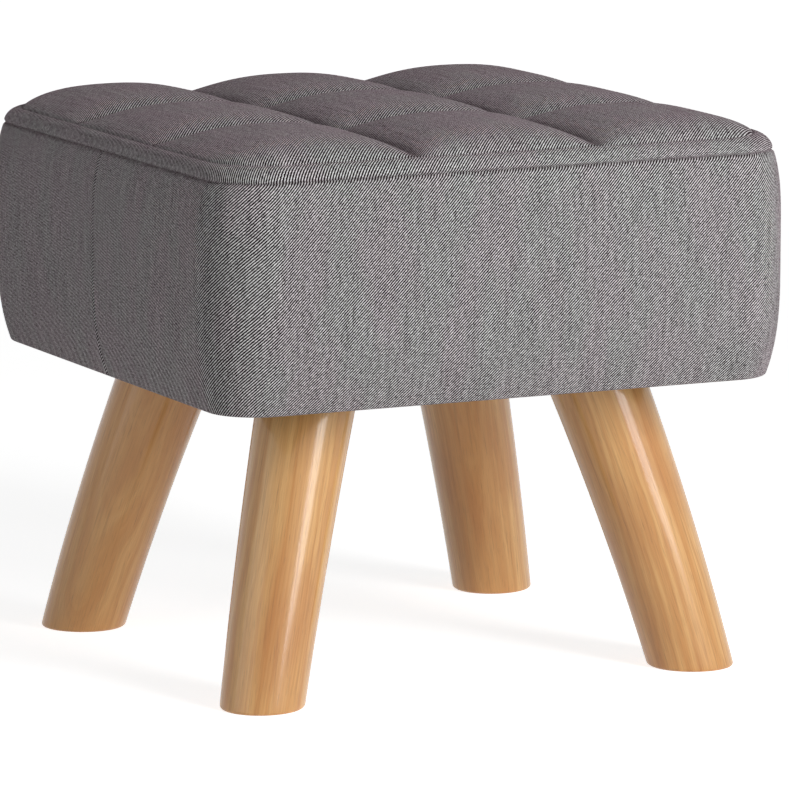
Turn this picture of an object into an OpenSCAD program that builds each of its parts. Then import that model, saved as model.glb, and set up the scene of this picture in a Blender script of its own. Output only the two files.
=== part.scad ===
// Square footstool: a padded box in woven cloth, with a quilted top, on four
// splayed and slightly bowed wooden legs. The origin is on the floor, under the
// middle of the seat. +X is the right side, -Y the front, +Z up.

/* [Seat] */
// Width of the seat at its fullest, side to side
seat_w = 400; // [330:5:480]
// Depth of the seat at its fullest, front to back
seat_d = 390; // [330:5:470]
// Height of the seat's lower edge above the floor
seat_z = 188; // [140:2:260]
// Height of the side band, from the lower edge up to the top seam
band_h = 142; // [110:2:190]
// Corner radius of the cover along the top seam, seen from above
corner_r = 35; // [32:1:50]
// How far the sides swell out beyond the seam all round
belly = 5.2; // [0.2:0.2:12]
// How much more a side swells at its middle than at its corners
belly_mid = 1.3; // [0.1:0.1:6]
// How far the lower edge is drawn in from the seam
foot_draw = 3.5; // [1:0.5:7]
// Width of cloth that is turned in under the base
hem_w = 22; // [18:1:24]

/* [Quilted top] */
// Pads along each side of the quilt
pads = 3; // [2:1:4]
// Height of one pad above the grooves round it
pad_rise = 12.9; // [6:0.1:18]
// Height of the whole top's crown, at its middle
crown_rise = 2.6; // [0.5:0.1:10]
// Height of the rolled rim, from the seam up to the crease round the pads
roll_h = 10.3; // [6:0.1:16]
// Distance that the crease is set in from the seam
roll_in = 8.5; // [5:0.5:12]
// Corner radius of the crease, seen from above
crease_r = 39; // [32:1:50]

/* [Cloth and foam] */
// Thickness of the woven cloth
cloth_t = 1.2; // [0.8:0.1:2]
// Thickness of the dust cover's thin cloth
dust_t = 0.6; // [0.4:0.1:1]
// Distance from the lower edge in to the edge of the dust cover
dust_in = 10; // [7:0.5:12]
// Thickness of the quilt's backing cloth
backing_t = 0.5; // [0.4:0.1:1]
// Thickness of wadding that is left under the grooves
groove_t = 1.5; // [1:0.1:3]
// Thickness of the seat foam
seat_foam_t = 40; // [20:1:50]
// Thickness of the side foam at the lower edge, where it is thinnest
side_foam_t = 4; // [2:0.5:8]
// Clearance between one soft layer and the next
layer_gap = 0.3; // [0.2:0.1:0.5]

/* [Frame] */
// Thickness of the base board
base_t = 12; // [12:1:18]
// Thickness of the deck board under the foam
deck_t = 9; // [6:1:15]
// Thickness of the rails
rail_t = 12; // [9:1:15]
// How far a corner block reaches in past the start of the round corner
block_in = 20; // [18:1:40]

/* [Legs] */
// Diameter of a leg at its top
leg_top_d = 62; // [40:1:66]
// Diameter of a leg at the floor
leg_foot_d = 52; // [30:1:60]
// Rounding of the edge that stands on the floor
leg_edge_r = 2; // [1:0.5:4]
// How far a leg bows outwards at its middle
leg_bow = 2.7; // [0:0.1:8]
// Distance from the seat's left or right side in to the leg's top
leg_top_x = 102; // [80:1:115]
// Distance from the seat's front or back in to the leg's top
leg_top_y = 95; // [80:1:110]
// Distance from the seat's left or right side in to the leg's foot
leg_foot_x = 51; // [30:1:90]
// Distance from the seat's front or back in to the leg's foot
leg_foot_y = 54; // [30:1:90]

/* [Fasteners] */
// Diameter of a hanger bolt
bolt_d = 8; // [6:1:8]
// Length of a hanger bolt
bolt_l = 52; // [46:1:70]
// Length of bolt that is screwed into the leg
bolt_leg_l = 32; // [24:1:34]
// Diameter of a T-nut's barrel
tnut_d = 10.4; // [10:0.2:12]
// Length of a T-nut's barrel
tnut_l = 9; // [6:1:11]
// Diameter of a T-nut's flange
flange_d = 22; // [18:1:26]
// Thickness of a T-nut's flange
flange_t = 1.5; // [1:0.5:2]
// Diameter of a wood screw
screw_d = 4; // [3:0.5:5]
// Diameter of a wood screw's countersunk head
screw_head_d = 8; // [7:0.5:10]
// Length of a wood screw
screw_l = 30; // [24:1:32]
// Width of a staple
staple_w = 10; // [6:1:14]
// Length of a staple's legs
staple_l = 8; // [6:1:10]
// Thickness of a staple's wire
wire_t = 0.8; // [0.5:0.1:1.2]
// Distance from one staple to the next
staple_step = 60; // [40:5:90]
// Radial clearance of a bolt or screw in its hole
fit_gap = 0.05; // [0.02:0.01:0.1]

/* [Hidden] */

cloth_colour = [0.47, 0.45, 0.46];
wadding_colour = [0.93, 0.93, 0.90];
foam_colour = [0.90, 0.84, 0.62];
ply_colour = [0.76, 0.62, 0.42];
pine_colour = [0.85, 0.72, 0.50];
leg_colour = [0.80, 0.60, 0.38];
dust_colour = [0.10, 0.10, 0.11];
zinc_colour = [0.72, 0.73, 0.75];

// Half the width and depth of the cover along the top seam
seam_hx = seat_w / 2 - belly - belly_mid;
seam_hy = seat_d / 2 - belly - belly_mid;

// The box stands inside the seam by the cloth, the thinnest foam and the drawn-in edge
frame_in = foot_draw + cloth_t + side_foam_t + layer_gap;
frame_hx = seam_hx - frame_in;
frame_hy = seam_hy - frame_in;
frame_r = corner_r - frame_in;

// Centre of a round corner, the same for the cover and the box
arc_x = seam_hx - corner_r;
arc_y = seam_hy - corner_r;

// Heights, from the floor up
base_z = seat_z + cloth_t;
base_top = base_z + base_t;
leg_top_z = base_z - dust_t;
seam_z = seat_z + band_h;
crease_z = seam_z + roll_h;
wadding_z = crease_z - cloth_t - layer_gap - groove_t;
backing_z = wadding_z - backing_t;
deck_top = backing_z - seat_foam_t;
deck_z = deck_top - deck_t;
rail_h = deck_z - base_top;

// Segments of a half corner and of a straight side, for the sewn and foam sheets
arc_n = 3;
side_n = 6;
// Grid cells across one pad, and rows of cells down the rolled rim
pad_n = 6;
roll_n = 3;
quilt_half = pads * pad_n / 2;

// Share of the band's height that each row of its section lies below the seam
band_rows = [0, 0.03, 0.08, 0.16, 0.3, 0.5, 0.66, 0.8, 0.9, 0.96, 1];
foam_rows = [0, 0.06, 0.16, 0.3, 0.5, 0.68, 0.82, 0.92, 1];

// Powers of a pad's curve: a low dome from side to side, and from front to back
// a flatter top that rises steeply out of its grooves
dome_powers = [2.4, 0.83];
arch_powers = [4.6, 0.75];

// How much closer together the rows of cells lie beside the grooves
groove_bias = 0.2;

leg_sides = 32;
leg_rings = 8;
small_fn = 20;
round_fn = 64;

// Sewn sheets

// The side swells down to belly_top, and draws in again from belly_low
belly_top = 0.35;
belly_low = 0.5;
swell_power = 3.3;
draw_power = 3;

// Swell of the side beyond the seam, t from 0 at the seam to 1 at the lower edge
function swell(t) =
  t < belly_top ? belly * (1 - pow(1 - t / belly_top, swell_power)) :
  t <= belly_low ? belly :
  belly - (belly + foot_draw) * pow((t - belly_low) / (1 - belly_low), draw_power);

function mid_swell(t) = belly_mid * 4 * t * (1 - t);

// One side of an outline, from the middle of one corner to the middle of the
// next, facing +X: h is the distance out, w the half length along the side
function side_line(h, w, r, mid) = concat(
  [for (i = [0:arc_n]) let (a = 45 * (i / arc_n - 1)) [h - r + r * cos(a), r - w + r * sin(a)]],
  [for (i = [1:side_n - 1]) let (s = 2 * i / side_n - 1) [h + mid * (1 - s * s), s * (w - r)]],
  [for (i = [0:arc_n]) let (a = 45 * i / arc_n) [h - r + r * cos(a), w - r + r * sin(a)]]
);

// A point turned by k quarter turns
function turned(p, k) = k == 0 ? p : turned([-p[1], p[0]], k - 1);

// Side k of the cover's outline, moved out by off: 0 right, 1 back, 2 left, 3 front
function cover_side(k, off, mid) =
  let (h = k % 2 == 0 ? seam_hx : seam_hy, w = k % 2 == 0 ? seam_hy : seam_hx)
  [for (p = side_line(h + off, w + off, corner_r + off, mid)) turned(p, k)];

function cover_loop(off, mid) =
  [for (k = [0:3]) let (s = cover_side(k, off, mid)) for (i = [0:len(s) - 2]) s[i]];

function lifted(line, z) = [for (p = line) [p[0], p[1], z]];

// A solid between two grids of points, both seen from outside as rows running
// down and columns running left; a closed sheet's last column meets its first
module sheet(outer, inner, closed) {
  rows = len(outer);
  cols = len(outer[0]);
  size = rows * cols;
  last_j = closed ? cols - 1 : cols - 2;
  points = concat([for (row = outer) each row], [for (row = inner) each row]);
  function at(side, i, j) = side * size + i * cols + j % cols;
  // An open sheet's cells are cut along diagonals that mirror about its middle
  function rising(i, j) = !closed && (2 * i < rows - 1) != (2 * j < cols - 1);
  function skin(side, i, j) = rising(i, j) ?
    [[at(side, i, j), at(side, i + 1, j), at(side, i, j + 1)],
     [at(side, i + 1, j), at(side, i + 1, j + 1), at(side, i, j + 1)]] :
    [[at(side, i, j), at(side, i + 1, j), at(side, i + 1, j + 1)],
     [at(side, i, j), at(side, i + 1, j + 1), at(side, i, j + 1)]];
  function flipped(f) = [f[2], f[1], f[0]];
  function row_edge(i, j) =
    [[at(0, i, j), at(0, i, j + 1), at(1, i, j + 1)], [at(0, i, j), at(1, i, j + 1), at(1, i, j)]];
  function col_edge(i, j) =
    [[at(0, i, j), at(1, i, j), at(1, i + 1, j)], [at(0, i, j), at(1, i + 1, j), at(0, i + 1, j)]];
  faces = concat(
    [for (i = [0:rows - 2], j = [0:last_j]) each skin(0, i, j)],
    [for (i = [0:rows - 2], j = [0:last_j]) for (f = skin(1, i, j)) flipped(f)],
    [for (j = [0:last_j]) each row_edge(0, j)],
    [for (j = [0:last_j]) for (f = row_edge(rows - 1, j)) flipped(f)],
    closed ? [] : [for (i = [0:rows - 2]) each col_edge(i, 0)],
    closed ? [] : [for (i = [0:rows - 2]) for (f = col_edge(i, cols - 1)) flipped(f)]
  );
  polyhedron(points, [for (f = faces) flipped(f)]);
}

// The strip of cloth round the four sides, turned in under the base
module side_band() {
  hem_off = -foot_draw - hem_w;
  outer = concat(
    [for (t = band_rows) lifted(cover_loop(swell(t), mid_swell(t)), seam_z - t * band_h)],
    [lifted(cover_loop(hem_off, 0), seat_z)]
  );
  // The inside ends on the hem's upper face, one thickness above the lower edge
  inner = concat(
    [for (t = band_rows) let (z = max(seam_z - t * band_h, base_z))
      lifted(cover_loop(swell(t) - cloth_t, mid_swell(t)), z)],
    [lifted(cover_loop(hem_off, 0), base_z)]
  );
  color(cloth_colour) sheet(outer, inner, true);
}

// One sheet of foam between the box and the band, to the middle of two corners
module side_foam(k) {
  foam_top = seam_z - layer_gap;
  foam_low = base_z + layer_gap;
  zs = [for (s = foam_rows) foam_top - s * (foam_top - foam_low)];
  outer = [for (z = zs) let (t = (seam_z - z) / band_h)
    lifted(cover_side(k, swell(t) - cloth_t - layer_gap, mid_swell(t)), z)];
  inner = [for (z = zs) lifted(cover_side(k, layer_gap - frame_in, 0), z)];
  color(foam_colour) sheet(outer, inner, false);
}

// Quilted top

// The square from -1 to 1 mapped onto a rectangle with round corners
function rounded_at(u, v, hx, hy, r) =
  let (x = abs(u) * hx, y = abs(v) * hy, dx = (x - hx + r) / r, dy = (y - hy + r) / r)
  dx <= 0 || dy <= 0 ? [u * hx, v * hy] :
  [sign(u) * (hx - r + r * dx * sqrt(1 - dy * dy / 2)),
   sign(v) * (hy - r + r * dy * sqrt(1 - dx * dx / 2))];

// Place of grid line i across its pad, from -1 to 1
function across_pad(i) = let (s = (i + quilt_half) % pad_n * 2 / pad_n - 1) s + groove_bias * sin(180 * s);

// Place of grid line i across the whole quilt, from -1 to 1
function across_quilt(i) = (2 * floor((i + quilt_half) / pad_n) + 1 + across_pad(i)) / pads - 1;

// Curve of the pads along one direction: 0 in the grooves, 1 at a pad's middle
function pad_curve(i, powers) = pow(max(0, 1 - pow(abs(across_pad(i)), powers[0])), powers[1]);

// Point of the cover's outside, or of its inside where drop is the cloth's thickness
function quilt_point(i, j, drop) =
  let (
    m = max(abs(i), abs(j)),
    share = quilt_half / max(m, quilt_half),
    u = across_quilt(i * share),
    v = across_quilt(j * share)
  )
  m <= quilt_half ?
    let (p = rounded_at(u, v, seam_hx - roll_in, seam_hy - roll_in, crease_r))
    [p[0], p[1], crease_z - drop + crown_rise * (1 - u * u) * (1 - v * v)
      + pad_rise * pad_curve(i, dome_powers) * pad_curve(j, arch_powers)] :
    let (
      t = (m - quilt_half) / roll_n,
      inset = roll_in * (1 - sin(90 * t)) + drop * sin(90 * t),
      r = crease_r + (corner_r - crease_r) * t - drop * sin(90 * t),
      p = rounded_at(u, v, seam_hx - inset, seam_hy - inset, r)
    )
    [p[0], p[1], seam_z + (roll_h - drop) * cos(90 * t)];

module top_cover() {
  n = quilt_half + roll_n;
  outer = [for (j = [-n:n]) [for (i = [-n:n]) quilt_point(i, -j, 0)]];
  inner = [for (j = [-n:n]) [for (i = [-n:n]) quilt_point(i, -j, cloth_t)]];
  color(cloth_colour) sheet(outer, inner, false);
}

module quilt_wadding() {
  n = quilt_half;
  top = [for (j = [-n:n]) [for (i = [-n:n]) quilt_point(i, -j, cloth_t + layer_gap)]];
  flat = [for (row = top) lifted(row, wadding_z)];
  color(wadding_colour) sheet(top, flat, false);
}

// Rounded rectangle with true arcs
module panel(hx, hy, r) {
  square([2 * hx, 2 * (hy - r)], center = true);
  square([2 * (hx - r), 2 * hy], center = true);
  for (x = [-1, 1], y = [-1, 1])
    translate([x * (hx - r), y * (hy - r)]) circle(r, $fn = round_fn);
}

module quilt_backing() {
  color(wadding_colour) translate([0, 0, backing_z]) linear_extrude(backing_t)
    panel(seam_hx - roll_in, seam_hy - roll_in, crease_r);
}

module seat_foam() {
  color(foam_colour) translate([0, 0, deck_top]) linear_extrude(seat_foam_t)
    panel(frame_hx, frame_hy, frame_r);
}

// Box frame

// Deck and base screws go into the blocks at the start of the round corner, and
// rail screws stand clear of them, at the middle of the block's reach
rail_screw_in = block_in / 2;
rail_screw_zs = [base_top + rail_h / 4, base_top + rail_h * 3 / 4];

leg_top = [seat_w / 2 - leg_top_x, seat_d / 2 - leg_top_y];

module at_corners(x, y) {
  for (sx = [-1, 1], sy = [-1, 1]) translate([sx * x, sy * y, 0]) children();
}

// Countersunk wood screw pointing down, its head's face at z = 0
module screw(gap = 0) {
  head_h = (screw_head_d - screw_d) / 2;
  translate([0, 0, -head_h])
    cylinder(h = head_h, d1 = screw_d + 2 * gap, d2 = screw_head_d + 2 * gap, $fn = small_fn);
  translate([0, 0, -screw_l - gap])
    cylinder(h = screw_l + gap - head_h, d = screw_d + 2 * gap, $fn = small_fn);
}

module deck_screws_at(gap) {
  at_corners(arc_x, arc_y) translate([0, 0, deck_top]) screw(gap);
}

module base_screws_at(gap) {
  at_corners(arc_x, arc_y) translate([0, 0, base_z]) mirror([0, 0, 1]) screw(gap);
}

// Screws through one rail, which faces +X at distance h, into the blocks at its ends
module rail_screws_at(h, along, gap) {
  for (s = [-1, 1], z = rail_screw_zs)
    translate([h, s * (along - rail_screw_in), z]) rotate([0, 90, 0]) screw(gap);
}

module all_rail_screws(gap) {
  for (k = [0:3])
    rotate([0, 0, 90 * k])
      rail_screws_at(k % 2 == 0 ? frame_hx : frame_hy, k % 2 == 0 ? arc_y : arc_x, gap);
}

module rail(k) {
  h = k % 2 == 0 ? frame_hx : frame_hy;
  along = k % 2 == 0 ? arc_y : arc_x;
  color(pine_colour) rotate([0, 0, 90 * k]) difference() {
    translate([h - rail_t, -along, base_top]) cube([rail_t, 2 * along, rail_h]);
    rail_screws_at(h, along, fit_gap);
  }
}

// Corner block: a round outer corner, and a square post behind the two rails
module block(sx, sy) {
  post = block_in + frame_r - rail_t;
  color(pine_colour) difference() {
    translate([sx * arc_x, sy * arc_y, base_top]) linear_extrude(rail_h)
      mirror([sx > 0 ? 0 : 1, 0]) mirror([0, sy > 0 ? 0 : 1]) {
        intersection() {
          circle(frame_r, $fn = round_fn);
          square(frame_r);
        }
        translate([-block_in, -block_in]) square(post);
      }
    all_rail_screws(fit_gap);
    deck_screws_at(fit_gap);
    base_screws_at(fit_gap);
  }
}

module deck_board() {
  color(ply_colour) difference() {
    translate([0, 0, deck_z]) linear_extrude(deck_t) panel(frame_hx, frame_hy, frame_r);
    deck_screws_at(fit_gap);
  }
}

module base_board() {
  color(ply_colour) difference() {
    translate([0, 0, base_z]) linear_extrude(base_t) panel(frame_hx, frame_hy, frame_r);
    base_screws_at(fit_gap);
    at_corners(leg_top[0], leg_top[1])
      translate([0, 0, base_z - 1]) cylinder(h = base_t + 2, d = tnut_d + 2 * fit_gap, $fn = round_fn);
  }
}

module deck_screws() { color(zinc_colour) deck_screws_at(0); }

module base_screws() { color(zinc_colour) base_screws_at(0); }

module rail_screws() { color(zinc_colour) all_rail_screws(0); }

// Legs and their bolts

bolt_z = leg_top_z - bolt_leg_l;
bolt_tip_h = 6;

// Centre of a leg in plan, t from 0 at the floor to 1 at the top
foot = [seat_w / 2 - leg_foot_x, seat_d / 2 - leg_foot_y];
lean_run = norm(foot - leg_top);
lean_dir = (foot - leg_top) / lean_run;
lean_cos = cos(atan(lean_run / leg_top_z));
function leg_centre(t) = foot + (leg_top - foot) * t + lean_dir * leg_bow * 4 * t * (1 - t);
function leg_r(t) = (leg_foot_d + (leg_top_d - leg_foot_d) * t) / 2;

// A level ring of a leaning round leg is longer along the lean
function leg_ring(t, cut) =
  let (c = leg_centre(t), r = leg_r(t) - cut)
  [for (i = [0:leg_sides - 1]) let (a = 360 * i / leg_sides, p = c + lean_dir * r / lean_cos * cos(a)
    + [-lean_dir[1], lean_dir[0]] * r * sin(a)) [p[0], p[1], leg_top_z * t]];

module leg_body() {
  edge = leg_edge_r;
  low = [for (a = [0, 30, 60]) leg_ring(edge / leg_top_z * (1 - cos(a)), edge * (1 - sin(a)))];
  high = [for (i = [0:leg_rings]) let (t0 = edge / leg_top_z) leg_ring(t0 + (1 - t0) * i / leg_rings, 0)];
  rings = concat(low, high);
  n = leg_sides;
  m = len(rings);
  sides = [for (k = [0:m - 2], i = [0:n - 1]) let (a = k * n + i, b = k * n + (i + 1) % n)
    each [[a, a + n, b + n], [a, b + n, b]]];
  caps = [[for (i = [0:n - 1]) i], [for (i = [n - 1:-1:0]) (m - 1) * n + i]];
  polyhedron([for (ring = rings) each ring], concat(sides, caps));
}

module leg(sx, sy) {
  color(leg_colour) difference() {
    mirror([sx > 0 ? 0 : 1, 0, 0]) mirror([0, sy > 0 ? 0 : 1, 0]) leg_body();
    translate([sx * leg_top[0], sy * leg_top[1], bolt_z - 1])
      cylinder(h = bolt_leg_l + 2, d = bolt_d + 2 * fit_gap, $fn = round_fn);
  }
}

module hanger_bolts() {
  color(zinc_colour) at_corners(leg_top[0], leg_top[1]) {
    translate([0, 0, bolt_z]) cylinder(h = bolt_tip_h, d1 = bolt_d / 3, d2 = bolt_d, $fn = round_fn);
    translate([0, 0, bolt_z + bolt_tip_h]) cylinder(h = bolt_l - bolt_tip_h, d = bolt_d, $fn = round_fn);
  }
}

module t_nuts() {
  color(zinc_colour) at_corners(leg_top[0], leg_top[1]) difference() {
    union() {
      translate([0, 0, base_top]) cylinder(h = flange_t, d = flange_d, $fn = round_fn);
      translate([0, 0, base_top - tnut_l]) cylinder(h = tnut_l + flange_t / 2, d = tnut_d, $fn = round_fn);
    }
    translate([0, 0, base_top - tnut_l - 1])
      cylinder(h = tnut_l + flange_t + 2, d = bolt_d + 2 * fit_gap, $fn = round_fn);
  }
}

// Underside

// Panel of the cover's outline, moved in by inset from the seam
module inset_panel(inset) { panel(seam_hx - inset, seam_hy - inset, corner_r - inset); }

// Thin cloth over the base, stepped down at its edge over the turned-in hem
module dust_cover() {
  edge_in = foot_draw + dust_in;
  step_in = foot_draw + hem_w + layer_gap;
  color(dust_colour) difference() {
    union() {
      translate([0, 0, base_z - dust_t]) linear_extrude(dust_t) inset_panel(step_in);
      translate([0, 0, seat_z - dust_t]) linear_extrude(cloth_t + dust_t) difference() {
        inset_panel(step_in);
        inset_panel(step_in + dust_t);
      }
      translate([0, 0, seat_z - dust_t]) linear_extrude(dust_t) difference() {
        inset_panel(edge_in);
        inset_panel(step_in + dust_t);
      }
    }
    at_corners(leg_top[0], leg_top[1])
      translate([0, 0, base_z - 2 * dust_t]) cylinder(h = 3 * dust_t, d = tnut_d, $fn = round_fn);
  }
}

// Staple driven upwards, its crown's underside at z = 0
module staple() {
  translate([-wire_t / 2, -staple_w / 2, 0]) cube([wire_t, staple_w, wire_t]);
  for (s = [0, 1])
    translate([-wire_t / 2, s * (staple_w - wire_t) - staple_w / 2, 0]) cube([wire_t, wire_t, staple_l]);
}

// A centred row of staples on each side, a distance in from the seam; a row
// with one staple fewer stands half a step off a full one
module staple_rows(inset, z, fewer) {
  for (k = [0:3]) {
    h = k % 2 == 0 ? seam_hx : seam_hy;
    along = k % 2 == 0 ? arc_y : arc_x;
    steps = floor((2 * along - staple_w) / staple_step) - fewer;
    for (i = [0:steps])
      rotate([0, 0, 90 * k]) translate([h - inset, (i - steps / 2) * staple_step, z]) staple();
  }
}

// Each row of staples keeps this far from the dust cover's edge
staple_in = 3;

module band_staples() {
  color(zinc_colour) staple_rows(foot_draw + dust_in + 2 * staple_in, seat_z, 0);
}

module dust_staples() {
  color(zinc_colour) staple_rows(foot_draw + dust_in + staple_in, seat_z - dust_t - wire_t, 1);
}

top_cover();
side_band();
quilt_wadding();
quilt_backing();
seat_foam();
side_foam(3);  // front_foam
side_foam(1);  // back_foam
side_foam(2);  // left_foam
side_foam(0);  // right_foam
deck_board();
base_board();
rail(3);  // front_rail
rail(1);  // back_rail
rail(2);  // left_rail
rail(0);  // right_rail
block(-1, -1);  // block_front_left
block(1, -1);  // block_front_right
block(-1, 1);  // block_back_left
block(1, 1);  // block_back_right
leg(-1, -1);  // leg_front_left
leg(1, -1);  // leg_front_right
leg(-1, 1);  // leg_back_left
leg(1, 1);  // leg_back_right
t_nuts();
hanger_bolts();
rail_screws();
deck_screws();
base_screws();
band_staples();
dust_staples();
dust_cover();
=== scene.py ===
import math

import bmesh
import bpy
import numpy as np
from mathutils import Matrix, Vector


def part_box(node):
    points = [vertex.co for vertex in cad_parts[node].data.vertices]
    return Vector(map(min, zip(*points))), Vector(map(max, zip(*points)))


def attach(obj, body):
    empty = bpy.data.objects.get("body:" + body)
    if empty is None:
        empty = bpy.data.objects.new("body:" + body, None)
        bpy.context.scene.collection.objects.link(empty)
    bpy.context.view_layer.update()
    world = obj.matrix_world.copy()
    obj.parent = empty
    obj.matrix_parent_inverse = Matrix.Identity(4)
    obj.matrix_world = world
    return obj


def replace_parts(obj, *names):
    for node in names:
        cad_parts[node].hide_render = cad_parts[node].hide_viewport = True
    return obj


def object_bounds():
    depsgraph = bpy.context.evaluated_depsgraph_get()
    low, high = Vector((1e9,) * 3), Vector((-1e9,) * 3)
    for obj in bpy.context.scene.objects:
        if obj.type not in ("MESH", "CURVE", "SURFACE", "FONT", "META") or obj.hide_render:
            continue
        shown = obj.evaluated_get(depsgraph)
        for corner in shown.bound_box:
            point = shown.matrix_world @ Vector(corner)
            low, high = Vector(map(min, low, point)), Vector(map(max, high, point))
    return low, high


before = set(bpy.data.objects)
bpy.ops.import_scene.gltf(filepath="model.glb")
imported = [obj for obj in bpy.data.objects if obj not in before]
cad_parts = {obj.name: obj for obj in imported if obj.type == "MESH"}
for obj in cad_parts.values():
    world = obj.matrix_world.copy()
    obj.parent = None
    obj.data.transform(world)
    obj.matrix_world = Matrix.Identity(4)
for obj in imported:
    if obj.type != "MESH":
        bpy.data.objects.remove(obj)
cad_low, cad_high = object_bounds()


# Base board: a sheet of birch plywood with round corners, bored for the four
# T-nuts. The rails, the blocks and the cover's hem are all fixed to it.

class Spot:
    """A number, colour or vector that varies over a surface, as one socket of a finish's nodes."""

    def __init__(self, nodes, socket=None):
        self.nodes = nodes
        self.socket = socket

    def node(self, kind, settings, sockets, out=0):
        """Another node. Its settings are set first, then each socket gets a Spot or a plain value.
        The Spot that it gives holds the output named out, if the node has any."""
        made = self.nodes.new("ShaderNode" + kind)
        for name, value in settings.items():
            setattr(made, name, value)
        for name, value in sockets.items():
            if isinstance(value, Spot):
                made.id_data.links.new(value.socket, made.inputs[name])
            else:
                made.inputs[name].default_value = value
        return Spot(self.nodes, made.outputs[out] if made.outputs else None)

    def math(self, operation, *others):
        return self.node("Math", {"operation": operation}, dict(enumerate((self, *others))))

    def __add__(self, other):
        return self.math("ADD", other)

    def __sub__(self, other):
        return self.math("SUBTRACT", other)

    def __mul__(self, other):
        return self.math("MULTIPLY", other)

    def __rsub__(self, other):
        return self * -1 + other

    __radd__ = __add__
    __rmul__ = __mul__

    def place(self):
        """The place on the piece, in metres."""
        return self.node("TexCoord", {}, {}, "Object")

    def rise(self, low, high):
        """0 below low, 1 above high, and a smooth rise between them."""
        sockets = {"Value": self, "From Min": low, "From Max": high}
        return self.node("MapRange", {"interpolation_type": "SMOOTHSTEP"}, sockets)

    def mix(self, first, second):
        """The colour first where this is 0, second where it is 1. Mix has them as sockets 6 and 7."""
        return self.node("Mix", {"data_type": "RGBA"}, {0: self, 6: first, 7: second}, 2)

    def parts(self):
        """X, Y and Z of a vector."""
        return [self.node("SeparateXYZ", {}, {0: self}, part) for part in "XYZ"]

    def scaled(self, x, y, z):
        return self.node("VectorMath", {"operation": "MULTIPLY"}, {0: self, 1: (x, y, z)})

    def noise(self, scale, detail=2.0, rough=0.5):
        sockets = {"Vector": self, "Scale": scale, "Detail": detail, "Roughness": rough}
        return self.node("TexNoise", {}, sockets)

    def bump(self, depth):
        """The surface's normal, where this is its height from 0 to 1 and depth is 1 in metres."""
        return self.node("Bump", {}, {"Height": self, "Distance": depth})

    def surface(self, **sockets):
        """A Principled surface. An underscore stands for a space in a socket's name."""
        return self.node("BsdfPrincipled", {}, {name.replace("_", " "): sockets[name] for name in sockets})


def tone(red, green, blue):
    """A colour as it shows on a screen, each part from 0 to 255, turned to linear light."""
    shown = [part / 255 for part in (red, green, blue)]
    return (*[c / 12.92 if c < 0.04 else ((c + 0.055) / 1.055) ** 2.4 for c in shown], 1)


def new_finish(name, paint):
    """A material whose surface paint makes, from a Spot on the material's empty nodes."""
    finish = bpy.data.materials.new(name)
    finish.use_nodes = True
    spot = Spot(finish.node_tree.nodes)
    spot.nodes.clear()
    spot.node("OutputMaterial", {}, {"Surface": paint(spot)})
    return finish


def dress(finish, slot_name, *names):
    """Gives CAD nodes their finish."""
    for name in names:
        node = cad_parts[name]
        node.data.materials.clear()
        node.data.materials.append(finish)


ply_t = 0.0014
board_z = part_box("base_board")[0].z


def paint_plywood(spot):
    place = spot.place()
    height = place.parts()[2] - board_z
    grain = place.scaled(12, 240, 40).noise(1, 4, 0.6)
    figure = place.scaled(3, 28, 4).noise(1)
    face = (grain * 0.6 + figure * 0.4).rise(0.3, 0.7).mix(tone(188, 152, 108), tone(222, 192, 150))
    ply = (height * (math.pi / ply_t)).math("SINE").rise(-0.2, 0.2)
    edge = ply.mix(tone(150, 108, 66), tone(206, 172, 126))
    level = spot.node("NewGeometry", {}, {}, "Normal").parts()[2].math("ABSOLUTE").rise(0.5, 0.6)
    wood = level.mix(edge, face)
    return spot.surface(Base_Color=wood, Roughness=0.6 + grain * 0.2, Normal=grain.bump(0.0002))


plywood = new_finish("plywood", paint_plywood)
dress(plywood, "plywood", "base_board")


# Rails and corner blocks: planed pine. The rails stand on edge along the four
# sides of the base board, and are glued and screwed to a block in each corner.

year_rings = 900


def paint_pine(spot):
    place = spot.place()
    wander = place.scaled(6, 6, 30).noise(1) * 0.02
    fibre = place.scaled(40, 40, 900).noise(1, 3)
    rings = ((place.parts()[2] + wander) * year_rings).math("SINE").rise(-0.6, 1)
    wood = (rings * 0.6 + fibre * 0.4).mix(tone(226, 192, 138), tone(196, 152, 96))
    return spot.surface(Base_Color=wood, Roughness=0.55 + fibre * 0.2, Normal=fibre.bump(0.0001))


pine = new_finish("pine", paint_pine)
dress(pine, "pine", *[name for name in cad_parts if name.endswith("_rail") or name.startswith("block_")])


# Deck board: a thinner sheet of the same plywood, screwed down on the blocks. It
# closes the box and carries the seat foam.

dress(plywood, "plywood", "deck_board")


# Screws, T-nuts and hanger bolts: zinc-plated steel. The screws are driven flush,
# the T-nuts are pressed into the base board, and the bolts hold the legs to them.

def paint_zinc(spot):
    place = spot.place()
    spangle = spot.node("TexVoronoi", {}, {"Vector": place, "Scale": 900.0})
    smear = place.noise(160, 3)
    plate = (spangle * 0.5 + smear * 0.5).mix(tone(196, 198, 202), tone(222, 223, 220))
    rough = 0.28 + smear * 0.16
    return spot.surface(Base_Color=plate, Metallic=1.0, Roughness=rough, Normal=smear.bump(0.00002))


zinc = new_finish("zinc", paint_zinc)
dress(zinc, "zinc", "rail_screws", "deck_screws", "base_screws", "t_nuts", "hanger_bolts")


# Side foam: four sheets of cream foam, glued round the box and cut to meet at the
# middle of each corner. They give the sides their soft belly.

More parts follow.
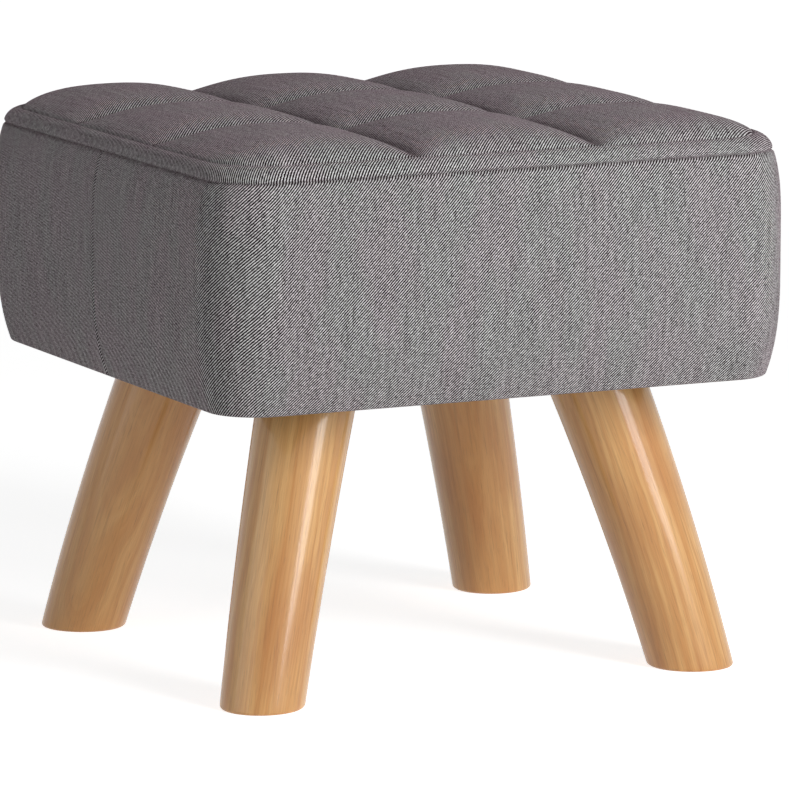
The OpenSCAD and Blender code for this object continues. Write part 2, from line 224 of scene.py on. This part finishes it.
cloth_t = 0.0012
layer_gap = 0.0003
belly = 0.0052
belly_mid = 0.0013
belly_full_at = 0.35
belly_power = 3.3
foot_draw = 0.0035
draw_from = 0.5
corner_r = 0.035
seat_z, seam_z = [corner.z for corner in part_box("side_band")]
band_h = seam_z - seat_z
seam_hx = cad_high.x - belly - belly_mid
seam_hy = cad_high.y - belly - belly_mid
corner_l = math.pi / 2 * corner_r
seam_l = 4 * (seam_hx + seam_hy - 2 * corner_r + corner_l)
seam_dip = 0.0015
foam_rows = 31
foam_columns = 97
sharp_angle = math.radians(50)


def swell(down):
    """How far the side stands out from the seam, where down is 0 at the seam and 1 at its foot."""
    bulge = 1 - np.clip(1 - down / belly_full_at, 0, 1) ** belly_power
    drawn = np.clip((down - draw_from) / (1 - draw_from), 0, 1) ** 3
    return belly * bulge - (belly + foot_draw) * drawn


def middle_swell(down, middle):
    """How much further it stands out between the corners, for rows of down and columns of middle."""
    return belly_mid * (4 * down * (1 - down))[:, None] * middle


def along_seam(distance):
    """Points of the seam line at distances in metres, counted from the left side's middle
    towards the front. Gives the points, the directions out from them, and how much of the
    sides' middle swell each takes."""
    halves = [seam_hy - corner_r, seam_hx - corner_r] * 2
    ways = [np.array(way) for way in ((0, -1), (1, 0), (0, 1), (-1, 0))]
    points = np.zeros((len(distance), 2))
    outward = np.zeros((len(distance), 2))
    middle = np.zeros(len(distance))
    start = -halves[0]
    gone = (distance - start) % seam_l + start
    for k, half in enumerate(halves):
        way = ways[k]
        out = ways[k - 1]
        across = halves[k - 1]
        on = (gone >= start) & (gone <= start + 2 * half)
        along = (gone[on] - start - half)[:, None]
        points[on] = out * (across + corner_r) + way * along
        outward[on] = out
        middle[on] = 1 - (along[:, 0] / half) ** 2
        start += 2 * half
        on = (gone > start) & (gone < start + corner_l)
        turn = ((gone[on] - start) / corner_r)[:, None]
        normal = out * np.cos(turn) + way * np.sin(turn)
        points[on] = out * across + way * half + normal * corner_r
        outward[on] = normal
        start += corner_l
    return points, outward, middle


def new_piece(name, points, faces, finish, places=None):
    """A smooth mesh that rides with the stool. places are each face corner's spot on the flat cloth."""
    mesh = bpy.data.meshes.new(name)
    mesh.from_pydata(points, [], faces)
    mesh.polygons.foreach_set("use_smooth", np.ones(len(faces), bool))
    if places is not None:
        layer = mesh.uv_layers.new(name="cloth")
        layer.uv.foreach_set("vector", np.asarray(places, np.float32).ravel())
    mesh.materials.append(finish)
    mesh.set_sharp_from_angle(angle=sharp_angle)
    piece = bpy.data.objects.new(name, mesh)
    bpy.context.scene.collection.objects.link(piece)
    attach(piece, "root")
    return piece


def new_layer(name, outer, inner, flat, closed, finish):
    """A solid between two grids of points. Seen from outside, rows run down and columns to the
    right. flat holds the same grid on the flat cloth. A closed layer's last column meets its
    first, and flat then has one column more."""
    rows, columns = outer.shape[:2]
    index = np.arange(rows * columns).reshape(rows, columns)
    if closed:
        index = np.concatenate([index, index[:, :1]], 1)
    laid = np.arange(index.size).reshape(index.shape)
    back = rows * columns

    def cells(grid):
        return np.stack([grid[:-1, :-1], grid[1:, :-1], grid[1:, 1:], grid[:-1, 1:]], -1).reshape(-1, 4)

    def rim(line, opposite):
        return np.stack([line[:-1], line[1:], opposite[1:], opposite[:-1]], -1)

    faces = [cells(index), cells(index)[:, ::-1] + back]
    corners = [cells(laid), cells(laid)[:, ::-1]]
    edges = [(0, 1), (-1, -1)]
    for row, sign in edges:
        faces.append(rim(index[row], index[row] + back)[:, ::sign])
        corners.append(rim(laid[row], laid[row])[:, ::sign])
    if not closed:
        for column, sign in edges:
            faces.append(rim(index[:, column], index[:, column] + back)[:, ::-sign])
            corners.append(rim(laid[:, column], laid[:, column])[:, ::-sign])
    points = np.concatenate([outer.reshape(-1, 3), inner.reshape(-1, 3)])
    places = flat.reshape(-1, 2)[np.concatenate(corners).ravel()]
    return new_piece(name, points, np.concatenate(faces).tolist(), finish, places)


def paint_foam(spot):
    place = spot.place()
    cells = spot.node("TexVoronoi", {"feature": "DISTANCE_TO_EDGE"}, {"Vector": place, "Scale": 1400.0})
    cloud = place.noise(40)
    pore = cells.rise(0.02, 0.3)
    sponge = (pore * 0.7 + cloud * 0.3).mix(tone(206, 184, 120), tone(240, 226, 174))
    return spot.surface(Base_Color=sponge, Roughness=0.95 - cloud * 0.1, Normal=pore.bump(0.0003))


foam = new_finish("foam", paint_foam)
foam_low, foam_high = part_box("left_foam")
frame_in = seam_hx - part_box("deck_board")[1].x
side_z = np.linspace(foam_high.z, foam_low.z, foam_rows)
down = (seam_z - side_z) / band_h
side_ls = [2 * (half - corner_r) + corner_l for half in (seam_hy, seam_hx)] * 2
start = -side_ls[0] / 2
for name, side_l in zip(["left_foam", "front_foam", "right_foam", "back_foam"], side_ls):
    distance = np.linspace(start, start + side_l, foam_columns)
    start += side_l
    line, outward, middle = along_seam(distance)
    off = swell(down)[:, None] - cloth_t - layer_gap + middle_swell(down, middle)
    off[0] -= seam_dip
    outer = np.empty((*off.shape, 3))
    outer[..., :2] = line + outward * off[..., None]
    outer[..., 2] = side_z[:, None]
    inner = outer.copy()
    inner[..., :2] = line - outward * (frame_in - layer_gap)
    flat = np.stack(np.broadcast_arrays(distance, side_z[:, None]), 2)
    side = new_layer(name + "_sheet", outer, inner, flat, False, foam)
    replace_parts(side, name)


# Seat foam: one block of the same foam over the deck board, cut with round
# corners, its upper and lower edges softened a little.

seat_edge_r = 0.002
block_steps = 25
edge_rings = 6


def on_round_corners(u, v, hx, hy, r):
    """The square from -1 to 1 drawn out to a rectangle with round corners."""
    x = np.abs(u) * hx
    y = np.abs(v) * hy
    dx = np.maximum((x - hx + r) / r, 0)
    dy = np.maximum((y - hy + r) / r, 0)
    both = (dx > 0) & (dy > 0)
    round_x = np.where(both, hx - r + r * dx * np.sqrt(np.maximum(1 - dy**2 / 2, 0)), x)
    round_y = np.where(both, hy - r + r * dy * np.sqrt(np.maximum(1 - dx**2 / 2, 0)), y)
    return np.sign(u) * round_x, np.sign(v) * round_y


def ring_grid(inside, rings):
    """A square grid of points, ring after ring, as u and v from -1 to 1 on each ring. inside are
    the steps from -1 to 1 across the middle, and so many rings go round it. Also gives each
    point's ring: 0 or less in the middle, and rising outwards to rings."""
    half = (len(inside) - 1) // 2
    lane = np.arange(-half - rings, half + rings + 1)
    i, j = np.meshgrid(lane, -lane)
    ring = np.maximum(np.abs(i), np.abs(j))
    share = half / np.maximum(ring, half)
    u = np.interp(i * share, np.arange(-half, half + 1), inside)
    v = np.interp(j * share, np.arange(-half, half + 1), inside)
    return u, v, ring - half


def new_block(name, node, r, edge_r, finish):
    """A flat block with corners of radius r and edges of radius edge_r, in place of a CAD node."""
    low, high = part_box(node)
    u, v, ring = ring_grid(np.linspace(-1, 1, block_steps), edge_rings)
    bend = np.clip(ring / edge_rings, 0, 1) * math.pi / 2
    inset = edge_r * (1 - np.sin(bend))
    x, y = on_round_corners(u, v, high.x - inset, high.y - inset, r - inset)
    drop = edge_r * (1 - np.cos(bend))
    upper = np.stack([x, y, high.z - drop], 2)
    lower = np.stack([x, y, low.z + drop], 2)
    block = new_layer(name, upper, lower, np.stack([x, y], 2), False, finish)
    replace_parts(block, node)
    return block


seat_block = new_block("seat_foam_block", "seat_foam", corner_r - frame_in, seat_edge_r, foam)


# Quilt backing: thin white non-woven cloth under the wadding. The quilting
# stitches go through it.

backing_edge_r = 0.0002
roll_in = 0.0085
crease_r = 0.039
crease_hx = seam_hx - roll_in
crease_hy = seam_hy - roll_in


def paint_wadding(spot):
    place = spot.place()
    fibre = place.noise(900, 5, 0.7)
    tuft = place.noise(90, 3)
    white = (fibre * 0.6 + tuft * 0.4).mix(tone(214, 212, 204), tone(248, 247, 243))
    return spot.surface(Base_Color=white, Roughness=0.95 - tuft * 0.05, Normal=fibre.bump(0.0006))


wadding = new_finish("wadding", paint_wadding)
backing = new_block("backing_cloth", "quilt_backing", crease_r, backing_edge_r, wadding)


# Quilt wadding: soft white fibre wadding, stitched down thin under the grooves,
# so that it stands up between them as nine pads.

pads = 3
side_dome = (2.4, 0.83)
front_arch = (4.6, 0.75)
groove_lift = 0.001
pad_rise = 0.0129
crown_rise = 0.0026
roll_h = 0.0103
crease_z = seam_z + roll_h
crease_dip = 0.0009
crease_dip_w = 0.001
groove_crowd = 0.28
wadding_cells = 16


def near(distance, width):
    """1 on a line and falling to 0 away from it."""
    return np.exp(-((distance / width) ** 2))


def pad_curve(s, power, root):
    """Across the quilt from -1 to 1: 0 in each groove and 1 at the middle of each pad."""
    across = (np.abs(s) * pads + pads % 2) % 2 - 1
    return np.maximum(1 - np.abs(across) ** power, 0) ** root


def crease_pull(distance):
    """How far the cloth is drawn down beside the crease, at a distance from it."""
    return crease_dip * near(distance, crease_dip_w)


def quilt_points(u, v, drop):
    """The quilt's face inside the crease, drop below the cover's outside."""
    x, y = on_round_corners(u, v, crease_hx, crease_hy, crease_r)
    dome = pad_curve(u, *side_dome)
    crown = (crown_rise + groove_lift * (1 - dome) * pad_curve(v, 2, 1)) * (1 - u**2) * (1 - v**2)
    pad = pad_rise * dome * pad_curve(v, *front_arch)
    edge = (1 - np.maximum(np.abs(u), np.abs(v))) * crease_hx
    return x, y, crease_z - drop + crown + pad - crease_pull(edge)


def quilt_steps(cells):
    """Steps from -1 to 1 with that many cells across a pad, close together at its grooves."""
    s = np.linspace(-1, 1, cells + 1)
    close = s + groove_crowd * np.sin(math.pi * s)
    return np.unique(np.round([(2 * k + 1 + close) / pads - 1 for k in range(pads)], 9))


u, v, _ = ring_grid(quilt_steps(wadding_cells), 0)
x, y, z = quilt_points(u, v, cloth_t + layer_gap)
under = np.full_like(z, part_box("quilt_wadding")[0].z)
upper = np.stack([x, y, z], 2)
lower = np.stack([x, y, under], 2)
quilt = new_layer("wadding_pads", upper, lower, np.stack([x, y], 2), False, wadding)
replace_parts(quilt, "quilt_wadding")


# Top cover: a twill of dark warp and pale weft with a mauve cast. It is quilted
# over the wadding, and its edge rolls down over the rim to the seam.

thread = 0.00066
twill_rib = 3 * thread
dark_yarn = tone(22, 14, 17)
mauve_yarn = tone(255, 248, 251)
grey_yarn = tone(251, 252, 251)
mauve_fluff = (1, 0.5, 0.68, 1)
black = (0, 0, 0, 1)
crevice_shade = 0.6


def paint_cloth(spot):
    """Pale weft over dark warp in slanting ribs, with uneven yarns, painted shade across each yarn's round,
    and painted shade in the crevices.
    """
    place = spot.node("UVMap", {"uv_map": "cloth"}, {})
    x, y, _ = place.parts()
    wander = place.noise(30) * 5
    slub = place.scaled(900, 260, 1).noise(1, 0) - 0.5
    streak = place.scaled(480, 26, 1).noise(1, 0) - 0.5
    fleck = place.scaled(350, 950, 1).noise(1, 0) - 0.5
    pulled = place.scaled(70, 650, 1).noise(1, 1) - 0.5
    cast = place.scaled(34, 14, 1).noise(1, 2).rise(0.38, 0.62)
    rib = ((x - y) * (2 * math.pi / twill_rib) + wander).math("COSINE") * 0.5 + 0.5
    pale = (rib + slub * 0.3 + streak * 0.3 + fleck * 0.5).rise(0.55, 0.75)
    end = (x * (math.pi / thread)).math("SINE").math("ABSOLUTE")
    pick = (y * (math.pi / thread)).math("SINE").math("ABSOLUTE")
    yarn = pale.mix(dark_yarn, cast.mix(mauve_yarn, grey_yarn))
    # Painted shade across each yarn's round: darker at its sides. The same swell gives the bump its height.
    swell_of_yarn = end + pale * (pick - end)
    crevice = spot.node("Attribute", {"attribute_name": "crevice"}, {}, "Fac")
    # light darkens the cloth with painted shade in the crevices and across each yarn's round; pulled and
    # fleck add the yarns' own uneven tone.
    light = (swell_of_yarn * 0.4 + 0.6 + pulled * 0.5 + fleck * 0.6) * (1 - crevice * crevice_shade)
    height = rib * 0.4 + swell_of_yarn * 0.6
    return spot.surface(Base_Color=light.mix(black, yarn), Roughness=0.95 - pale * 0.1,
                        Specular_IOR_Level=0.2, Sheen_Weight=0.16, Sheen_Roughness=0.5,
                        Sheen_Tint=mauve_fluff, Normal=height.bump(0.0002))


cloth = new_finish("cloth", paint_cloth)
roll_run = 0.0148
roll_steps = 14
rim_crowd = 0.12
cover_cells = 40
seam_dip_w = 0.001
pucker_deep = 0.0003
pucker_w = 0.005
groove_w = 0.005
arch_groove_w = 0.002
seam_w = 0.0011
# Painted shade along the seam and along the crease.
seam_shade = 0.5
crease_shade = 0.4
cut_longer = 0.65


def mark_crevice_shade(layer, depth):
    """Says how deep each point of a layer lies in the crevices, from 0 to 1, for the cloth's painted shade
    there.
    """
    mark = layer.data.attributes.new("crevice", "FLOAT", "POINT")
    mark.data.foreach_set("value", np.tile(depth.ravel(), 2).astype(np.float32))


def pucker(x, y):
    """The wandering pull of the seam's stitches over the cloth, from -1 to 1."""
    waves = [(610, 170, 0.4), (-340, 560, 2.1), (760, -420, 3.9), (150, 690, 5.2), (-520, -730, 1.3)]
    return sum(np.sin(a * x + b * y + c) for a, b, c in waves) / len(waves)


def seam_pull(x, y, height):
    """How far the cloth is drawn in beside the seam, at a height above or below it."""
    return seam_dip * near(height, seam_dip_w) + pucker_deep * pucker(x, y) * near(height, pucker_w)


def cover_points(u, v, share, sink):
    """The cover's face sunk by that much: the quilt, then its rim rolled down to the seam."""
    x, y, z = quilt_points(u, v, sink)
    level = roll_h * np.cos(share * math.pi / 2)
    thin = sink * np.sin(share * math.pi / 2) + seam_pull(x, y, level)
    inset = roll_in * (1 - np.sin(share * math.pi / 2)) + thin
    round_r = crease_r + (corner_r - crease_r) * share - thin
    rim_x, rim_y = on_round_corners(u, v, seam_hx - inset, seam_hy - inset, round_r)
    rim_z = seam_z + level * (1 - sink / roll_h) - crease_pull(share * roll_run)
    rim = share > 0
    return np.stack([np.where(rim, rim_x, x), np.where(rim, rim_y, y), np.where(rim, rim_z, z)], 2)


def extra_length(plan, height):
    """How much longer the cloth is than its plan down each column, counted in the outer pads from
    the crease, and in the middle pad from its middle."""
    step = np.diff(plan, axis=0)
    longer = np.sign(step) * (np.hypot(step, np.diff(height, axis=0)) - np.abs(step))
    longer = np.concatenate([np.zeros((1, len(plan))), np.cumsum(longer, 0)])
    cells = len(plan) // pads
    longer[:-1] -= longer[[0, len(plan) // 2, -1]].repeat(cells, 0)
    longer[::cells] = 0
    return longer


u, v, ring = ring_grid(quilt_steps(cover_cells), roll_steps)
share = np.clip(ring / roll_steps, 0, 1)
share = share - rim_crowd * np.sin(2 * math.pi * share)
laid = share * roll_run
outer = cover_points(u, v, share, 0)
flat = np.stack(on_round_corners(u, v, crease_hx + laid, crease_hy + laid, crease_r), 2)
on_pads = slice(roll_steps, -roll_steps)
x, y, z = np.moveaxis(outer[on_pads, on_pads], 2, 0)
# The cloth is cut longer for a part of what the pads take up, and stretches for the rest.
flat[on_pads, on_pads, 0] += cut_longer * extra_length(x.T, z.T).T
flat[on_pads, on_pads, 1] += cut_longer * extra_length(y, z)
top = new_layer("quilted_top", outer, cover_points(u, v, share, cloth_t), flat, False, cloth)
# Painted shade along the quilt's grooves, and along the seam and the crease on the rim.
side_grooves = near((np.abs(u) - 1 / pads) * crease_hx, groove_w)
arch_grooves = near((np.abs(v) - 1 / pads) * crease_hy, arch_groove_w)
grooves = 1 - (1 - side_grooves) * (1 - arch_grooves)
seams = seam_shade * near(roll_run - laid, seam_w) + crease_shade * near(laid, seam_w)
mark_crevice_shade(top, np.where(ring > 0, seams, grooves))
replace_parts(top, "top_cover")


# Side band: one long strip of the same twill. Its ends meet in a plain join at the
# middle of the left side, and its lower edge is turned in and stapled to the base.

fold_r = 0.0018
fold_steps = 5
hem_w = 0.022
hem_steps = 6
join_dip = 0.0007
join_w = 0.0012
# Painted shade at the band's join.
join_shade = 0.4
lean = math.radians(20)
side_h = band_h - fold_r * (1 - math.sin(lean))
near_seam = [0, 0.0004, 0.0008, 0.0013, 0.002, 0.003, 0.0045, 0.007]
below_seam = 0.011
side_steps = 32
near_join = np.array([0.0003, 0.0007, 0.0012, 0.002, 0.003])
beside_join = 0.005
band_steps = 480

depths = np.concatenate([near_seam, np.linspace(below_seam, side_h, side_steps)])
side = np.stack([swell(depths / band_h), seam_z - depths], 1)
turn = np.linspace(lean, math.pi / 2, fold_steps + 1)[1:]
fold = side[-1] - fold_r * np.array([math.cos(lean), -math.sin(lean)])
fold = fold + fold_r * np.stack([np.cos(turn), -np.sin(turn)], 1)
hem_x = np.linspace(fold[-1, 0], -foot_draw - hem_w, hem_steps + 1)[1:]
hem = np.stack([hem_x, np.full(hem_steps, seat_z)], 1)
path = np.concatenate([side, fold, hem])
along = np.gradient(path, axis=0)
along /= np.linalg.norm(along, axis=1)[:, None]
inward = np.stack([along[:, 1], -along[:, 0]], 1)
down = np.clip((seam_z - path[:, 1]) / band_h, 0, 1)
length = np.concatenate([[0], np.cumsum(np.linalg.norm(np.diff(path, axis=0), axis=1))])
between = np.linspace(beside_join, seam_l - beside_join, band_steps)
distance = np.concatenate([[0], near_join, between, seam_l - near_join[::-1]])
line, outward, middle = along_seam(distance)
from_join = np.minimum(distance, seam_l - distance)


def band_points(section):
    """The strip's face, from its section as the distance out from the seam and the height."""
    out, height = section.T[..., None]
    upper_half = (down < 0.5)[:, None]
    above_fold = (length < length[len(side)])[:, None]
    off = out + middle_swell(down, middle)
    off = off - seam_pull(line[:, 0], line[:, 1], seam_z - height) * upper_half
    off = off - join_dip * near(from_join, join_w) * above_fold
    points = np.empty((*off.shape, 3))
    points[..., :2] = line + outward * off[..., None]
    points[..., 2] = height
    return points


flat = np.stack(np.broadcast_arrays(np.append(distance, seam_l), -length[:, None]), 2)
inside = path + inward * cloth_t
inside[0, 1] = seam_z
band = new_layer("side_strip", band_points(path), band_points(inside), flat, True, cloth)
# Painted shade along the band's seam and at its join.
seams = seam_shade * near(length, seam_w)[:, None]
mark_crevice_shade(band, np.maximum(seams, join_shade * near(from_join, join_w)))
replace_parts(band, "side_band")


# Legs: round, splayed and slightly bowed outwards, turned from honey-coloured
# hardwood under satin lacquer. Each is screwed on by its hanger bolt, and cut flat.

leg_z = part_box("leg_front_left")[1].z
leg_top_r = 0.031
leg_foot_r = 0.026
leg_edge_r = 0.002
leg_bow = 0.0027
leg_top_in = Vector((0.102, 0.095))
leg_foot_in = Vector((0.051, 0.054))
leg_top_at = cad_high.xy - leg_top_in
leg_foot_at = cad_high.xy - leg_foot_in
leg_out = (leg_foot_at - leg_top_at).normalized()
leg_cos = math.cos(math.atan((leg_foot_at - leg_top_at).length / leg_z))
leg_rows = 40
leg_sides = 72
pith_left = 0.05
pith_back = 0.03
honey = tone(248, 196, 126)
amber = tone(220, 154, 84)


def paint_leg(spot):
    """Year rings round the log's pith, crossed by patches, streaks, fibres and pores along the leg."""
    place = spot.node("Attribute", {"attribute_name": "wood"}, {}, "Vector")
    x, y, z = place.parts()
    wander = place.scaled(22, 22, 7).noise(1, 3)
    off_x = x + pith_left
    off_y = y - pith_back
    ring = (off_x * off_x + off_y * off_y).math("SQRT") + wander * 0.012
    grown = spot.node("CombineXYZ", {}, {"X": ring * 260, "Y": z * 2.5})
    band = grown.noise(1, 4, 0.65)
    patch = place.scaled(30, 30, 9).noise(1, 2, 0.55)
    streak = place.scaled(620, 620, 16).noise(1, 2, 0.6)
    fibre = place.scaled(1500, 1500, 30).noise(1, 3)
    pore = place.scaled(2600, 2600, 70).noise(1, 1).rise(0.6, 0.75)
    wood = band.rise(0.3, 0.7).mix(honey, amber)
    wood = (patch.rise(0.45, 0.7) * 0.5).mix(wood, tone(202, 130, 66))
    wood = (streak.rise(0.54, 0.74) * 0.35).mix(wood, tone(172, 108, 54))
    wood = (fibre.rise(0.35, 0.7) * 0.22).mix(wood, tone(190, 130, 76))
    wood = (pore * 0.3).mix(wood, tone(138, 88, 48))
    return spot.surface(Base_Color=wood, Roughness=0.42 + fibre * 0.12, Coat_Weight=0.6, Coat_Roughness=0.13,
                        Normal=(fibre * 0.6 - pore * 0.4).bump(0.00006))


leg_wood = new_finish("leg_wood", paint_leg)


def new_leg(name, sx, sy, twist, cut_at):
    """One leg towards the corner on sides sx and sy. twist and cut_at say how its wood was cut."""
    edge_turn = np.radians([0, 25, 50, 75])
    edge_z = leg_edge_r * (1 - np.cos(edge_turn))
    edge_cut = leg_edge_r * (1 - np.sin(edge_turn))
    heights = np.concatenate([edge_z, np.linspace(leg_edge_r, leg_z, leg_rows)])
    cuts = np.concatenate([edge_cut, np.zeros(leg_rows)])
    up = heights / leg_z
    side = np.array([sx, sy])
    out = np.array(leg_out) * side
    across = np.array([-out[1], out[0]])
    centre = (np.array(leg_foot_at) + np.outer(up, leg_top_at - leg_foot_at)) * side
    centre = centre + np.outer(leg_bow * 4 * up * (1 - up), out)
    turn = np.linspace(0, 2 * math.pi, leg_sides + 1)[:-1]
    r = (leg_foot_r + (leg_top_r - leg_foot_r) * up - cuts)[:, None]
    plan = centre[:, None] + (r * np.cos(turn) / leg_cos)[..., None] * out
    plan = plan + (r * np.sin(turn))[..., None] * across
    rings = np.concatenate([plan, np.broadcast_to(heights[:, None, None], (*plan.shape[:2], 1))], 2)
    index = np.arange(plan[..., 0].size).reshape(-1, leg_sides)
    loop = np.concatenate([index, index[:, :1]], 1)
    faces = np.stack([loop[:-1, :-1], loop[:-1, 1:], loop[1:, 1:], loop[1:, :-1]], -1).reshape(-1, 4).tolist()
    faces += [index[0, ::-1].tolist(), index[-1].tolist()]
    leg = new_piece(name, rings.reshape(-1, 3), faces, leg_wood)
    log_x = r * np.cos(turn + twist)
    log_y = r * np.sin(turn + twist)
    in_log = np.broadcast_arrays(log_x, log_y, (heights + cut_at)[:, None])
    grain = leg.data.attributes.new("wood", "FLOAT_VECTOR", "POINT")
    grain.data.foreach_set("vector", np.stack(in_log, -1).astype(np.float32).ravel())
    return leg


legs = [("leg_front_left", -1, -1, 0.6, 0.0), ("leg_front_right", 1, -1, 2.2, 0.9),
        ("leg_back_left", -1, 1, 4.0, 2.1), ("leg_back_right", 1, 1, 5.3, 3.4)]
for node, sx, sy, twist, cut_at in legs:
    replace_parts(new_leg(node + "_turned", sx, sy, twist, cut_at), node)


# Dust cover: thin black non-woven cloth over the underside. It laps the hem, and
# is pierced where the bolts pass through it into the legs.

dust_t = 0.0006
dust_steps = 91
dust_low, dust_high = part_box("dust_cover")
dust_in = seam_hx - dust_high.x
lap = foot_draw + hem_w + layer_gap - dust_in
step_before = 0.003
step_w = 0.004
sag_deep = 0.0012
wrinkle_deep = 0.0004
wrinkle_size = 6
leg_clear_r = 0.05
bolt_clear_r = 0.0055
leg_tops = [Vector((sx * leg_top_at.x, sy * leg_top_at.y)) for sx in (-1, 1) for sy in (-1, 1)]


def paint_dust(spot):
    place = spot.place()
    fibre = place.scaled(1, 1, 0.2).noise(1300, 4, 0.7)
    dots = spot.node("TexVoronoi", {}, {"Vector": place, "Scale": 700.0, "Randomness": 0.25})
    pressed = dots.rise(0.25, 0.4)
    dark = (fibre * 0.6 + pressed * 0.4).mix(tone(22, 22, 23), tone(58, 58, 60))
    return spot.surface(Base_Color=dark, Roughness=0.8 + fibre * 0.15,
                        Normal=(pressed * 0.6 + fibre * 0.4).bump(0.00012))


dust_cloth = new_finish("dust_cloth", paint_dust)
u, v, _ = ring_grid(np.linspace(-1, 1, dust_steps), 0)
x, y = on_round_corners(u, v, dust_high.x, dust_high.y, corner_r - dust_in)
edge = np.minimum(dust_high.x - np.abs(x), dust_high.y - np.abs(y))
raised = np.clip((edge - lap + step_before) / step_w, 0, 1)
raised = raised * raised * (3 - 2 * raised)
slack = raised.copy()
for top_at in leg_tops:
    slack *= 1 - near((x - top_at.x) ** 2 + (y - top_at.y) ** 2, leg_clear_r**2)
sag = sag_deep * slack * (1 - (x / dust_high.x) ** 2) * (1 - (y / dust_high.y) ** 2)
sag += wrinkle_deep * slack * (1 + pucker(x / wrinkle_size, y / wrinkle_size))
z = dust_low.z + cloth_t * raised - sag
lower = np.stack([x, y, z], 2)[::-1]
upper = lower + (0, 0, dust_t)
dust = new_layer("dust_sheet", lower, upper, np.stack([x, y], 2)[::-1], False, dust_cloth)
shape = bmesh.new()
shape.from_mesh(dust.data)
for top_at in leg_tops:
    pierced = [point for point in shape.verts if (point.co.xy - top_at).length < bolt_clear_r]
    bmesh.ops.delete(shape, geom=pierced, context="VERTS")
    bmesh.ops.bridge_loops(shape, edges=[side for side in shape.edges if side.is_boundary])
shape.to_mesh(dust.data)
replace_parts(dust, "dust_cover")


# Staples: zinc wire. One row holds the band's hem to the base board, and the other
# the dust cover's edge.

dress(zinc, "zinc", "band_staples", "dust_staples")


# Floor, lights and camera: a pale floor that fades to plain white, a tall softbox
# at the front right, a wide and weaker one low at the left, and faint light all round.

floor_half = 15
fade_from = 1
fade_to = 3.5
fill_strength = 0.1


def grey(level):
    return (level, level, level, 1)


def seen_directly(spot):
    """1 for the camera's own rays and for reflections, and 0 for light that falls on things."""
    reflected = spot.node("LightPath", {}, {}, "Is Glossy Ray")
    return spot.node("LightPath", {}, {}, "Is Camera Ray").math("MAXIMUM", reflected)


def paint_floor(spot):
    place = spot.place()
    mottle = place.noise(3)
    lit = spot.node("BsdfDiffuse", {}, {"Color": mottle.mix(grey(0.9), grey(0.92))})
    far = spot.node("VectorMath", {"operation": "LENGTH"}, {0: place}, "Value").rise(fade_from, fade_to)
    glow = spot.node("Emission", {}, {"Color": far.mix(grey(0.82), grey(0.96))})
    seen = spot.node("AddShader", {}, {0: lit, 1: glow})
    both = spot.node("MixShader", {}, {0: seen_directly(spot), 1: lit, 2: seen})
    behind = spot.node("NewGeometry", {}, {}, "Backfacing")
    return spot.node("MixShader", {}, {0: behind, 1: both, 2: spot.node("BsdfTransparent", {}, {})})


corners = [(sx * floor_half, sy * floor_half, 0) for sx, sy in [(-1, -1), (1, -1), (1, 1), (-1, 1)]]
floor_mesh = bpy.data.meshes.new("floor")
floor_mesh.from_pydata(corners, [], [(0, 1, 2, 3)])
floor_mesh.materials.append(new_finish("floor", paint_floor))
floor = bpy.data.objects.new("floor", floor_mesh)
bpy.context.scene.collection.objects.link(floor)

world = bpy.data.worlds.new("studio")
world.use_nodes = True
sky = Spot(world.node_tree.nodes)
sky.nodes.clear()
fill = sky.node("Background", {}, {"Color": grey(1), "Strength": fill_strength})
white = sky.node("Background", {}, {"Color": grey(1), "Strength": 1.0})
shown = sky.node("MixShader", {}, {0: seen_directly(sky), 1: fill, 2: white})
sky.node("OutputWorld", {}, {"Surface": shown})
bpy.context.scene.world = world


def towards(azimuth, elevation):
    """The direction out to a place, in degrees round and up. 0 is in front, and 90 on the right."""
    a = math.radians(azimuth)
    e = math.radians(elevation)
    return Vector((math.sin(a) * math.cos(e), -math.cos(a) * math.cos(e), math.sin(e)))


def new_softbox(name, azimuth, elevation, away, width, height, power, aim_z):
    """A rectangular light that faces a point above the origin."""
    way = towards(azimuth, elevation)
    lamp = bpy.data.lights.new(name, "AREA")
    lamp.shape = "RECTANGLE"
    lamp.size = width
    lamp.size_y = height
    lamp.energy = power
    box = bpy.data.objects.new(name, lamp)
    box.location = Vector((0, 0, aim_z)) + way * away
    box.rotation_euler = way.to_track_quat("Z", "Y").to_euler()
    bpy.context.scene.collection.objects.link(box)


new_softbox("key", azimuth=20, elevation=20, away=2.2, width=0.75, height=1.5, power=31, aim_z=0.26)
new_softbox("side", azimuth=-80, elevation=8, away=2.2, width=1.8, height=0.9, power=5.5, aim_z=0.2)

camera_azimuth = -25.63
camera_elevation = 9.44
camera_away = 4.1516
aim_z = 0.1649
aim_right = 0.00792
aim_down = 0.00243
camera = bpy.data.objects.new("camera", bpy.data.cameras.new("camera"))
bpy.context.scene.collection.objects.link(camera)
back = towards(camera_azimuth, camera_elevation)
right = towards(camera_azimuth + 90, 0)
up = back.cross(right)
place = Vector((0, 0, aim_z)) + back * camera_away + right * aim_right - up * aim_down
camera.matrix_world = Matrix.Translation(place) @ Matrix((right, up, back)).transposed().to_4x4()
camera.data.lens = 296.1
camera.data.sensor_width = 36
camera.data.clip_end = 100
bpy.context.scene.camera = camera
bpy.context.scene.view_settings.view_transform = "Standard"
